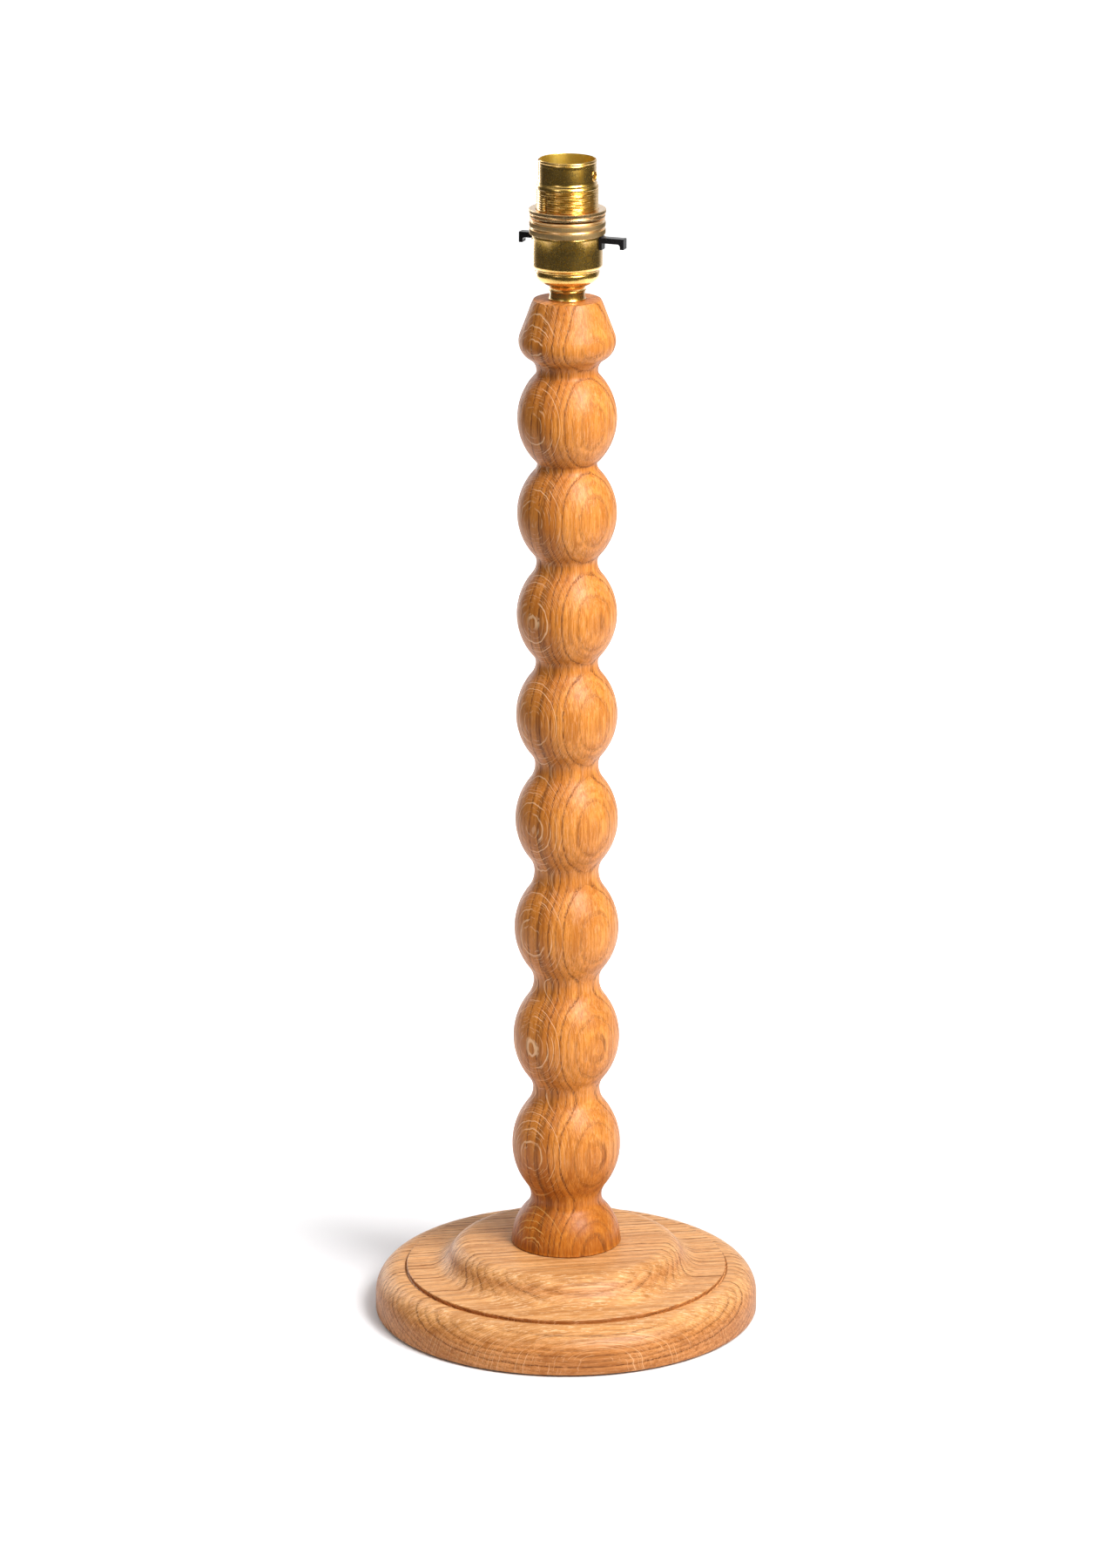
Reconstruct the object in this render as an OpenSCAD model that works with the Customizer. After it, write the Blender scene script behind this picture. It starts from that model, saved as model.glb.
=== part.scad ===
// Bobbin-turned oak table-lamp base with a switched bayonet lampholder.
// Millimetres. +Z is up. The origin is the centre of the underside, on the table.
// The front of the lamp faces -Y and the cable inlet is at the back, towards +Y.

/* [Base] */
// Diameter of the turned base
base_d = 179.3; // [150:0.1:220]
// Height of the flat plateau that the column stands on
base_h = 34; // [30:0.5:45]
// Height of the straight lower part of the base's edge
edge_h = 8.5; // [6:0.5:12]
// Radius of the round-over above the straight edge
edge_round = 12.2; // [8:0.1:14]
// Diameter of the step inside the outer band
step_d = 150; // [130:1:160]
// Height of the step
step_h = 1.8; // [1:0.1:3]
// Diameter at the foot of the ogee
ogee_foot_d = 128; // [110:1:136]
// Diameter of the plateau at the top of the ogee
plateau_d = 90; // [70:1:96]
// Thickness of the felt pad
felt_t = 0.8; // [0.5:0.1:2]

/* [Column] */
// Height of the top face of the wood above the table
wood_top = 485; // [440:1:520]
// Diameter of the first bobbin under the top bead
bobbin_top_d = 45.3; // [40:0.1:48]
// Diameter of the lowest bobbin
bobbin_low_d = 50.6; // [44:0.1:56]
// Diameter of the neck under the first bobbin
neck_top_d = 27.3; // [22:0.1:32]
// Growth of the neck diameter from one neck to the next
neck_step_d = 0.65; // [0:0.05:1]
// Radius of a bobbin's arc as a multiple of the bobbin's radius
bobbin_roundness = 1.26; // [1.15:0.01:1.35]
// Diameter of the half bobbin at the foot
foot_d = 50.9; // [46:0.1:56]
// Diameter of the flat top face
top_face_d = 31; // [26:0.5:34]
// Diameter of the bead under the top face
top_bead_d = 44.1; // [38:0.1:48]
// Diameter of the tenon in the base
tenon_d = 25; // [20:0.5:30]
// Diameter of the cable bore through the column
cable_bore_d = 8; // [7:0.5:10]

/* [Lampholder] */
// Height of the barrel's rim above the wood
rim_h = 64; // [60:0.5:68]
// Outer diameter of the skirt's thread
skirt_d = 28.2; // [27.8:0.1:28.6]
// Outer diameter of the smooth barrel
barrel_d = 26.2; // [25.6:0.1:26.8]
// Sheet thickness of the barrel
sheet_t = 0.65; // [0.5:0.05:0.8]
// Outer diameter of the cup
cup_d = 32.2; // [31.6:0.1:32.8]
// Outer diameter of the locking ring's knurled bands
lock_ring_d = 34.5; // [34:0.1:36]
// Outer diameter of the shade ring's top disc
shade_ring_d = 35; // [34:0.1:38]
// Turn of the switch bar and the bayonet slots from +X, in degrees
holder_turn = -21; // [-45:1:45]
// Angle from a lock hole back to its entry slot, in degrees
slot_turn = 27; // [24:1:32]
// How far the switch bar sticks out past its middle position
bar_shift = 2.5; // [2:0.1:2.5]
// Length of the switch bar from end to end
bar_l = 50.3; // [48:0.1:52]
// Width of the switch bar
bar_w = 4.4; // [4:0.1:4.6]
// Spacing of the two contact plungers
plunger_pitch = 9; // [8.6:0.1:9.4]
// Diameter of a contact plunger
plunger_d = 4.6; // [4:0.1:4.8]

/* [Hidden] */
$fn = 96;
over = 1;           // how far a cutting shape passes a face
run_gap = 0.05;     // running clearance on a radius or a side
seat_gap = 0.05;    // clearance on a radius where two fixed pieces fit together

base_r = base_d / 2;
band_h = edge_h + edge_round;      // top of the outer band
flat_h = band_h + step_h;          // flat ring inside the step
inlet_z = 7.3;                     // centre of the cable inlet in the back of the base
inlet_r = 4;
well_r = 5;                        // cable well in the middle of the base
tenon_z = 15;                      // lower end of the tenon
felt_inset = 1.6;

bobbins = 8;
bobbin_low_z = 82.5;               // centre of the lowest bobbin
// Centre distances of neighbouring bobbins, from the top down, as turned by hand
bobbin_pitch = [44.3, 47.5, 47.5, 50, 52.5, 53, 53];
neck_lift = 1;                     // each neck lies this far above the midpoint of its bobbins
foot_z = 35;                       // widest point of the half bobbin at the foot
foot_arc = 24;
foot_neck_z = 56.8;
foot_neck_r = 16.6;
top_neck_z = 452.2;
top_neck_r = 14;
top_bead_z = 465.9;
top_bead_arc = 9.2;
top_cone_slope = 0.366;            // radius gained for each millimetre down from the top face

wall_t = 0.8;                      // sheet thickness of the cup
cup_r = cup_d / 2;
band_r = 14.6;                     // band round the lower part of the cup
groove_r = 14.2;                   // groove above that band
bowl_arc = 4.6;
cup_seat_h = 7.8;                  // underside of the cup, on the bush
cup_floor_h = cup_seat_h + wall_t;
band_low_h = 12.3;
shoulder_h = 16.4;
shoulder_arc = 2;
cup_thread_h = 30;                 // start of the threaded neck of the cup
cup_thread_r = 15.5;
cup_top_h = 33.9;
cup_bore_r = 14.7;

ring_low_h = 30.1;                 // lower face of the locking ring
ring_seat_h = 34.9;                // shoulder that presses on the barrel's flange
ring_top_h = 37.3;
flange_r = 15.3;
flange_h = 34;

skirt_r = skirt_d / 2;
barrel_r = barrel_d / 2;
socket_r = barrel_r - sheet_t;
skirt_top_h = 51.3;
barrel_low_h = 54.4;               // the smooth barrel begins here
lock_hole_r = 2.05;
lock_drop = 6.9;                   // centre of the lock hole below the rim
entry_w = 3;
entry_sink = 0.3;                  // how far the entry slot runs below the level track
track_w = 2.4;
track_drop = 1.8;                  // bottom of the track below the lock hole's centre
crease_w = 3.4;
crease_depth = 0.35;
crease_turn = 63;                  // from the lock holes to the creases in the skirt

shade_low_h = 38.1;
shade_top_h = 41.5;

block_low_h = 20;
block_r = 14.6;
block_top_h = 34;
guide_r = 13.3;
guide_base_h = 38.5;
guide_top_h = 47;
spring_low_h = 36.2;
plunger_low_h = 42.5;
plunger_tip_h = 53.5;
plunger_r = plunger_d / 2;
plunger_y = plunger_pitch / 2;
spring_wire = 0.6;

bar_low_h = 23.9;
bar_top_h = 30;
neck_low_h = 27;
neck_high_h = 29.6;
head_low_h = 24.7;
head_t = 1.8;
bar_body_half = 14.8;
bar_fillet = 1.2;
strip_t = 0.5;
strip_l = 9;
strip_w = 3.4;
switch_travel = 5;

pillar_y = 8.7;
pillar_w = 5;
pillar_low_h = 24;
pillar_top_h = 32.5;
tab_t = 1;
screw_r = 1.2;
screw_head_r = 2;
wire_hole_r = 1.1;

// Points of an arc about c from angle a0 to a1, in n steps
function arc(c, r, a0, a1, n) = [
    for (i = [0 : n]) let (a = a0 + (a1 - a0) * i / n) [c.x + r * cos(a), c.y + r * sin(a)]
];

// Height of bobbin i's centre; bobbin 0 is the one under the top bead
function bobbin_z(i) = i == bobbins - 1 ? bobbin_low_z : bobbin_z(i + 1) + bobbin_pitch[i];
function bobbin_r(i) =
    (bobbin_top_d + (bobbin_low_d - bobbin_top_d) * pow(i / (bobbins - 1), 1.65)) / 2;
function neck_r(i) = (neck_top_d + neck_step_d * i) / 2;
function neck_z(i) = (bobbin_z(i) + bobbin_z(i + 1)) / 2 + neck_lift;

// A swell is [greatest radius, height of its centre, arc radius]; a neck is [least radius, height].
// The hollow arc of the neck touches the swell's arc; this is the hollow arc's radius.
function hollow_r(swell, neck) =
    let (inset = neck.x - swell.x + swell[2], rise = neck.y - swell.y)
    (inset * inset + rise * rise - swell[2] * swell[2]) / (2 * (swell[2] - inset));

// Angle of the point where the two arcs touch, seen from the swell's centre
function touch_angle(swell, neck) =
    let (h = hollow_r(swell, neck))
    atan2(neck.y - swell.y, neck.x + h - swell.x + swell[2]);

// From the middle of a neck to the point where it touches a swell
function neck_to_swell(neck, swell) =
    let (h = hollow_r(swell, neck), t = touch_angle(swell, neck))
    arc([neck.x + h, neck.y], h, 180, 180 + t, 6);

// From one touching point round the swell to the other
function swell_arc(swell, a_from, a_to) =
    arc([swell.x - swell[2], swell.y], swell[2], a_from, a_to, 14);

function reversed(v) = [for (i = [len(v) - 1 : -1 : 0]) v[i]];

function bobbin(i) = [bobbin_r(i), bobbin_z(i), bobbin_roundness * bobbin_r(i)];
function upper_neck(i) = i == 0 ? [top_neck_r, top_neck_z] : [neck_r(i - 1), neck_z(i - 1)];
function lower_neck(i) =
    i == bobbins - 1 ? [foot_neck_r, foot_neck_z] : [neck_r(i), neck_z(i)];

// One bobbin from the neck above it to the neck below it
function bobbin_outline(i) = concat(
    neck_to_swell(upper_neck(i), bobbin(i)),
    swell_arc(bobbin(i), touch_angle(bobbin(i), upper_neck(i)),
              touch_angle(bobbin(i), lower_neck(i))),
    reversed(neck_to_swell(lower_neck(i), bobbin(i)))
);

foot_swell = [foot_d / 2, foot_z, foot_arc];
top_swell = [top_bead_d / 2, top_bead_z, top_bead_arc];

// Angle on the top bead's arc where the cone of the top leaves it
top_cone_angle = atan(top_cone_slope);

column_outline = concat(
    [[0, wood_top], [top_face_d / 2, wood_top]],
    swell_arc(top_swell, top_cone_angle, touch_angle(top_swell, [top_neck_r, top_neck_z])),
    reversed(neck_to_swell([top_neck_r, top_neck_z], top_swell)),
    [for (i = [0 : bobbins - 1]) each bobbin_outline(i)],
    neck_to_swell([foot_neck_r, foot_neck_z], foot_swell),
    swell_arc(foot_swell, touch_angle(foot_swell, [foot_neck_r, foot_neck_z]), -2),
    [[tenon_d / 2, base_h], [tenon_d / 2, tenon_z + 1], [tenon_d / 2 - 1, tenon_z],
     [0, tenon_z]]
);

// The ogee is two equal arcs that meet halfway
ogee_run = (ogee_foot_d - plateau_d) / 2;
ogee_rise = base_h - flat_h;
ogee_arc = (ogee_run * ogee_run + ogee_rise * ogee_rise) / (4 * ogee_rise);
ogee_angle = asin(ogee_run / 2 / ogee_arc);

base_outline = concat(
    [[0, felt_t], [base_r - 0.8, felt_t], [base_r, felt_t + 0.8]],
    arc([base_r - edge_round, edge_h], edge_round, 0, 90, 14),
    [[step_d / 2, band_h], [step_d / 2, flat_h - 0.4], [step_d / 2 - 0.4, flat_h]],
    arc([ogee_foot_d / 2, flat_h + ogee_arc], ogee_arc, -90, -90 - ogee_angle, 8),
    reversed(arc([plateau_d / 2, base_h - ogee_arc], ogee_arc, 90, 90 - ogee_angle, 8)),
    [[0, base_h]]
);

// Everything in the lampholder is drawn with the switch bar along X, from the wood's top face up
module in_holder() {
    translate([0, 0, wood_top]) rotate([0, 0, holder_turn]) children();
}

// A round hole or post along Z between two heights
module round_z(r, low, high) {
    translate([0, 0, low]) cylinder(r = r, h = high - low);
}

// A block centred on X and Y between two heights
module block_z(w, l, low, high) {
    translate([-w / 2, -l / 2, low]) cube([w, l, high - low]);
}

module base() {
    color("#d9a566") difference() {
        rotate_extrude() polygon(base_outline);
        round_z(tenon_d / 2 + seat_gap, tenon_z, base_h + over);
        round_z(well_r, felt_t - over, tenon_z + over);
        translate([0, 0, inlet_z]) rotate([-90, 0, 0]) cylinder(r = inlet_r, h = base_r + over);
    }
}

module column() {
    color("#c98a4b") difference() {
        rotate_extrude() polygon(column_outline);
        round_z(cable_bore_d / 2, tenon_z - over, wood_top + over);
        round_z(5 + seat_gap, wood_top - 20, wood_top + over);
    }
}

module base_felt() {
    color("#3b3a38") cylinder(r = base_r - felt_inset, h = felt_t);
}

module wood_nipple() {
    color("#b8923e") in_holder() difference() {
        round_z(5, -18, 9);
        round_z(3.6, -18 - over, 9 + over);
    }
}

// Turned collar under the cup: flange at the top, cove, two small lips
module entry_bush() {
    color("#b8923e") in_holder() difference() {
        rotate_extrude() polygon(concat(
            [[0, 0], [8.3, 0], [8.5, 0.3], [8.5, 0.8], [8.2, 1.1], [8.2, 4.1], [8.45, 4.4],
             [8.45, 4.8]],
            reversed(arc([11, cup_seat_h - 0.3], 2.6, 180, 255, 6)),
            [[10.9, cup_seat_h - 0.3], [10.9, cup_seat_h], [6.3, cup_seat_h],
             [6.3, cup_floor_h], [7.1, cup_floor_h], [7.1, cup_floor_h + 0.7],
             [6.3, cup_floor_h + 1.6], [0, cup_floor_h + 1.6]]
        ));
        round_z(5 + seat_gap, -over, cup_floor_h + 3);
    }
}

cup_outline = concat(
    [[6.3 + seat_gap, cup_seat_h]],
    arc([band_r - bowl_arc, band_low_h], bowl_arc, -78, 0, 8),
    [[band_r, 13.1], [groove_r, 13.3], [groove_r, 13.8]],
    arc([cup_r - shoulder_arc, shoulder_h], shoulder_arc, -70, 0, 6),
    [[cup_r, cup_thread_h - 0.2], [cup_r - 0.2, cup_thread_h], [cup_thread_r, cup_thread_h],
     [cup_thread_r, cup_top_h], [cup_bore_r, cup_top_h], [cup_bore_r, cup_thread_h - 0.6],
     [cup_r - wall_t, cup_thread_h - 1.2]],
    arc([cup_r - shoulder_arc, shoulder_h], shoulder_arc - wall_t, 0, -70, 6),
    [[band_r - wall_t, 14.4]],
    arc([band_r - bowl_arc, band_low_h], bowl_arc - wall_t, 0, -78, 8),
    [[6.3 + seat_gap, cup_floor_h]]
);

module holder_cup() {
    color("#b99b46") in_holder() difference() {
        rotate_extrude() polygon(cup_outline);
        // slots for the switch bar, open at the top edge
        block_z(2 * cup_r + 2, bar_w + 0.2, bar_low_h - 0.1, cup_top_h + over);
    }
}

module locking_ring() {
    r = lock_ring_d / 2;
    color("#c08a45") in_holder() rotate_extrude() polygon([
        [cup_thread_r + seat_gap, ring_low_h], [r - 0.3, ring_low_h], [r, ring_low_h + 0.3],
        [r, 32.7], [r - 0.4, 32.9], [r - 0.4, 33.7], [r, 33.9], [r, 36.1], [r - 0.5, 36.3],
        [r - 0.25, 36.5], [r - 0.25, 37.1], [r - 0.45, ring_top_h], [skirt_r + 0.2, ring_top_h],
        [skirt_r + 0.2, ring_seat_h], [cup_thread_r + seat_gap, ring_seat_h]
    ]);
}

barrel_outline = concat(
    [[skirt_r - sheet_t, flange_h], [flange_r, flange_h], [flange_r, ring_seat_h],
     [skirt_r, ring_seat_h], [skirt_r, skirt_top_h]],
    arc([skirt_r - 2, skirt_top_h], 2, 8, 48, 5),
    reversed(arc([barrel_r + 1.6, barrel_low_h], 1.6, 180, 222, 5)),
    [[barrel_r, rim_h - 1.5], [barrel_r + 0.1, rim_h - 1.1], [barrel_r + 0.15, rim_h - 0.6],
     [barrel_r, rim_h - 0.1], [barrel_r - 0.2, rim_h], [socket_r, rim_h],
     [socket_r, barrel_low_h - 0.9], [skirt_r - sheet_t - 0.5, skirt_top_h + 0.6],
     [skirt_r - sheet_t, skirt_top_h - 0.8]]
);

// One bayonet track: entry slot from the rim, a level stretch, and the round lock hole
module bayonet_track() {
    lock_h = rim_h - lock_drop;
    track_low = lock_h - track_drop;
    translate([barrel_r - 3, 0, lock_h]) rotate([0, 90, 0])
        cylinder(r = lock_hole_r, h = 5);
    rotate([0, 0, slot_turn]) translate([barrel_r - 3, -entry_w / 2, track_low - entry_sink])
        cube([5, entry_w, rim_h]);
    translate([0, 0, track_low]) rotate_extrude(angle = slot_turn)
        translate([barrel_r - 2, 0]) square([4, track_w]);
}

module barrel() {
    color("#b99b46") in_holder() difference() {
        rotate_extrude() polygon(barrel_outline);
        for (half = [0, 180]) rotate([0, 0, half]) bayonet_track();
        // creases pressed into the skirt, which key the plunger guide
        for (half = [0, 180]) rotate([0, 0, crease_turn + half])
            translate([skirt_r - crease_depth, -crease_w / 2, 36])
                cube([3, crease_w, 12.5]);
    }
}

module shade_ring() {
    r = shade_ring_d / 2;
    color("#c08a45") in_holder() rotate_extrude() polygon([
        [skirt_r + run_gap, shade_low_h], [r - 0.5, shade_low_h], [r - 0.3, shade_low_h + 0.2],
        [r - 0.3, 39.1], [r - 0.55, 39.3], [r - 0.55, 39.7], [r, 39.9], [r, 41.2],
        [r - 0.3, shade_top_h], [skirt_r + run_gap, shade_top_h]
    ]);
}

// Phenolic body in the cup: a channel for the switch bar and two pockets for the terminals
module interior_block() {
    color("#5b3a24") in_holder() difference() {
        round_z(block_r, block_low_h, block_top_h);
        block_z(40, bar_w + 2 * run_gap, bar_low_h - run_gap, block_top_h + over);
        // recess for the contact strip
        block_z(strip_l + switch_travel + 1.5, strip_w + 0.4, bar_low_h - 1.2, bar_low_h);
        for (turn = [0, 180]) rotate([0, 0, turn]) {
            translate([0, 11, 0]) block_z(pillar_w + 0.3, 10, block_low_h - over,
                                          block_top_h + over);
            translate([0, 6, 0]) block_z(pillar_w + 0.3, 7, pillar_top_h - 0.1,
                                         block_top_h + over);
        }
    }
}

// Insulating disc in the skirt with a tube for each plunger
module plunger_guide() {
    color("#d8d2c4") in_holder() difference() {
        union() {
            round_z(guide_r, block_top_h, guide_base_h);
            for (side = [-1, 1]) translate([0, side * plunger_y, 0])
                round_z(plunger_r + 1.5, guide_base_h - over, guide_top_h);
            block_z(5, plunger_pitch, guide_base_h - over, guide_top_h - 1);
        }
        for (side = [-1, 1]) translate([0, side * plunger_y, 0]) {
            round_z(plunger_r + run_gap, spring_low_h, guide_top_h + over);
            round_z(1 + seat_gap, block_top_h - over, spring_low_h + over);
        }
    }
}

// Round-nosed brass plunger
module plunger(side) {
    color("#caa64d") in_holder() translate([0, side * plunger_y, 0])
        rotate_extrude() polygon(concat(
            [[0, plunger_low_h], [plunger_r - 0.3, plunger_low_h],
             [plunger_r, plunger_low_h + 0.3]],
            arc([plunger_r - 1, plunger_tip_h - 1], 1, 0, 90, 4),
            [[0, plunger_tip_h]]
        ));
}
module plunger_live() { plunger(1); }
module plunger_neutral() { plunger(-1); }

// A coil spring as the tube that its wire fills
module plunger_spring(side) {
    color("#9a9a94") in_holder() translate([0, side * plunger_y, 0]) difference() {
        round_z(plunger_r - 0.2, spring_low_h, plunger_low_h);
        round_z(plunger_r - 0.2 - spring_wire, spring_low_h - over, plunger_low_h + over);
    }
}
module spring_live() { plunger_spring(1); }
module spring_neutral() { plunger_spring(-1); }

// Terminal pillar with a tab and a stud that feeds the plunger's spring
module terminal(side) {
    color("#caa64d") in_holder() rotate([0, 0, side > 0 ? 0 : 180]) difference() {
        union() {
            translate([0, pillar_y, 0]) block_z(pillar_w, pillar_w, pillar_low_h, pillar_top_h);
            translate([0, (pillar_y + pillar_w / 2 + 3) / 2, 0])
                block_z(pillar_w, pillar_y + pillar_w / 2 - 3, pillar_top_h - 0.01,
                        pillar_top_h + tab_t);
            translate([0, plunger_y, 0]) round_z(1, pillar_top_h, spring_low_h);
        }
        // wire hole from below, screw hole from the side
        translate([0, pillar_y - 0.6, 0])
            round_z(wire_hole_r, pillar_low_h - over, pillar_low_h + 5);
        translate([0, pillar_y, 27]) rotate([-90, 0, 0])
            cylinder(r = screw_r + seat_gap, h = pillar_w);
    }
}
module terminal_live() { terminal(1); }
module terminal_neutral() { terminal(-1); }

// Slotted cheese-head screw, head on top, its seat at the origin
module slotted_screw(shank_r, shank_l, head_r, head_h) {
    difference() {
        union() {
            round_z(shank_r, -shank_l, 0.01);
            round_z(head_r, 0, head_h);
        }
        block_z(0.6, 2 * head_r + 1, head_h - 0.6, head_h + over);
    }
}

module terminal_screws() {
    color("#caa64d") in_holder() for (side = [0, 180]) rotate([0, 0, side])
        translate([0, pillar_y + pillar_w / 2, 27]) rotate([-90, 0, 0])
            slotted_screw(screw_r, 2.2, screw_head_r, 1.4);
}

// Push bar: tall middle, thin necks, hooked ends
module switch_bar() {
    half = bar_l / 2;
    color("#1c1b1d") in_holder() translate([bar_shift, 0, 0]) {
        difference() {
            block_z(bar_l, bar_w, head_low_h, neck_high_h);
            for (end = [-1, 1]) translate([end * (half - head_t) / 2, 0, 0]) {
                block_z(half - head_t - 2 * bar_fillet, bar_w + 2, head_low_h - over,
                        neck_low_h);
                block_z(half - head_t, bar_w + 2, head_low_h - over,
                        neck_low_h - bar_fillet);
            }
            for (end = [-1, 1]) translate([end * (half - head_t - bar_fillet), 0,
                                           neck_low_h - bar_fillet])
                rotate([90, 0, 0])
                    cylinder(r = bar_fillet, h = bar_w + 2, center = true, $fn = 32);
        }
        block_z(2 * bar_body_half, bar_w, bar_low_h, bar_top_h);
    }
}

module switch_contact() {
    color("#caa64d") in_holder() translate([bar_shift, 0, 0])
        block_z(strip_l, strip_w, bar_low_h - strip_t, bar_low_h);
}

// Two studs that the strip bridges when the bar is pushed to +X
module switch_studs() {
    stud_top = bar_low_h - strip_t - 0.05;
    color("#caa64d") in_holder() for (x = [-1, 6]) translate([x, 0, 0])
        round_z(0.9, bar_low_h - 1.2, stud_top);
}

module earth_tab() {
    color("#caa64d") in_holder() difference() {
        translate([-8.95, 0, 0]) block_z(3.3, 4.4, cup_floor_h, 15.5);
        translate([-8.95, 0, 0]) round_z(1 + seat_gap, 12.6, 15.5 + over);
        translate([-8.95, 0, 11]) rotate([90, 0, 0])
            cylinder(r = wire_hole_r, h = 6, center = true);
    }
}

module earth_screw() {
    color("#caa64d") in_holder() translate([-8.95, 0, 15.5])
        slotted_screw(1, 2.8, 1.6, 1.3);
}

// Collar that holds the cable in the cup
module cord_grip() {
    low = cup_floor_h + 1.6;
    color("#e8e6df") in_holder() difference() {
        round_z(6.9, low, low + 6.2);
        round_z(3.6, low - over, low + 6.2 + over);
        for (side = [0, 180]) rotate([0, 0, side]) translate([0, 3, low + 3.6])
            rotate([-90, 0, 0]) cylinder(r = 1 + seat_gap, h = 5);
    }
}

module cord_grip_screws() {
    color("#9a9a94") in_holder() for (side = [0, 180]) rotate([0, 0, side])
        translate([0, 6.95, cup_floor_h + 1.6 + 3.6]) rotate([-90, 0, 0])
            slotted_screw(1, 3, 1.7, 1.2);
}

base();
column();
base_felt();
wood_nipple();
entry_bush();
holder_cup();
locking_ring();
barrel();
shade_ring();
interior_block();
plunger_guide();
plunger_live();
plunger_neutral();
spring_live();
spring_neutral();
terminal_live();
terminal_neutral();
terminal_screws();
switch_bar();
switch_contact();
switch_studs();
earth_tab();
earth_screw();
cord_grip();
cord_grip_screws();
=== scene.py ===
"""Looks of the bobbin-turned oak lamp base with a brass bayonet lampholder."""
import math

import bmesh
import bpy
from mathutils import Matrix, Vector


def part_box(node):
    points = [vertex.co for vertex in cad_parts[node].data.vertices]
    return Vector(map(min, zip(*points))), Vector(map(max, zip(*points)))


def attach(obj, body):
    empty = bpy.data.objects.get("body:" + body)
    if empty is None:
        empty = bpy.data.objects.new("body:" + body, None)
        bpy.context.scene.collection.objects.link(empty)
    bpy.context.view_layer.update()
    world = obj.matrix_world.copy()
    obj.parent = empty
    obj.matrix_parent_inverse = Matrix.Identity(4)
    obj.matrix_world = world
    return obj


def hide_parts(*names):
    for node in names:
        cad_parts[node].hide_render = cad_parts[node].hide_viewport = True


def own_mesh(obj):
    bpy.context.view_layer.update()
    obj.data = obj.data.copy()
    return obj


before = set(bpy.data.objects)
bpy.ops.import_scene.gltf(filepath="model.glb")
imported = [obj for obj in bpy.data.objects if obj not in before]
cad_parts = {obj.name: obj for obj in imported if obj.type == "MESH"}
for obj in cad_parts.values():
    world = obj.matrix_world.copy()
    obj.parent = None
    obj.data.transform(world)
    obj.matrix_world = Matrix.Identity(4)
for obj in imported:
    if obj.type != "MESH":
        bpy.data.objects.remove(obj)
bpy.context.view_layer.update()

MM = 0.001
TAU = 2 * math.pi

# ---------------------------------------------------------------- places, in millimetres
WOOD_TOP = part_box("column")[1].z / MM
TENON_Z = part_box("column")[0].z / MM
BASE_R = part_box("base")[1].x / MM
BASE_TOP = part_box("base")[1].z / MM
FELT_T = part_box("base_felt")[1].z / MM
FELT_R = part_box("base_felt")[1].x / MM
RIM_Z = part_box("barrel")[1].z / MM
HOLDER_TURN = math.radians(-21)     # from +X to the switch bar
CABLE_BORE_R = 4.0
NIPPLE_HOLE_R = 5.05
NIPPLE_DEPTH = 20.0
MORTISE_R = 12.55
WELL_R = 5.0
INLET_R = 4.0
INLET_Z = 7.3
KNURL_FROM_R = 16.5                 # faces of the rings outside this radius are knurled
SHARP_ANGLE = 32                    # degrees between faces, above which an edge stays crisp


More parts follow.
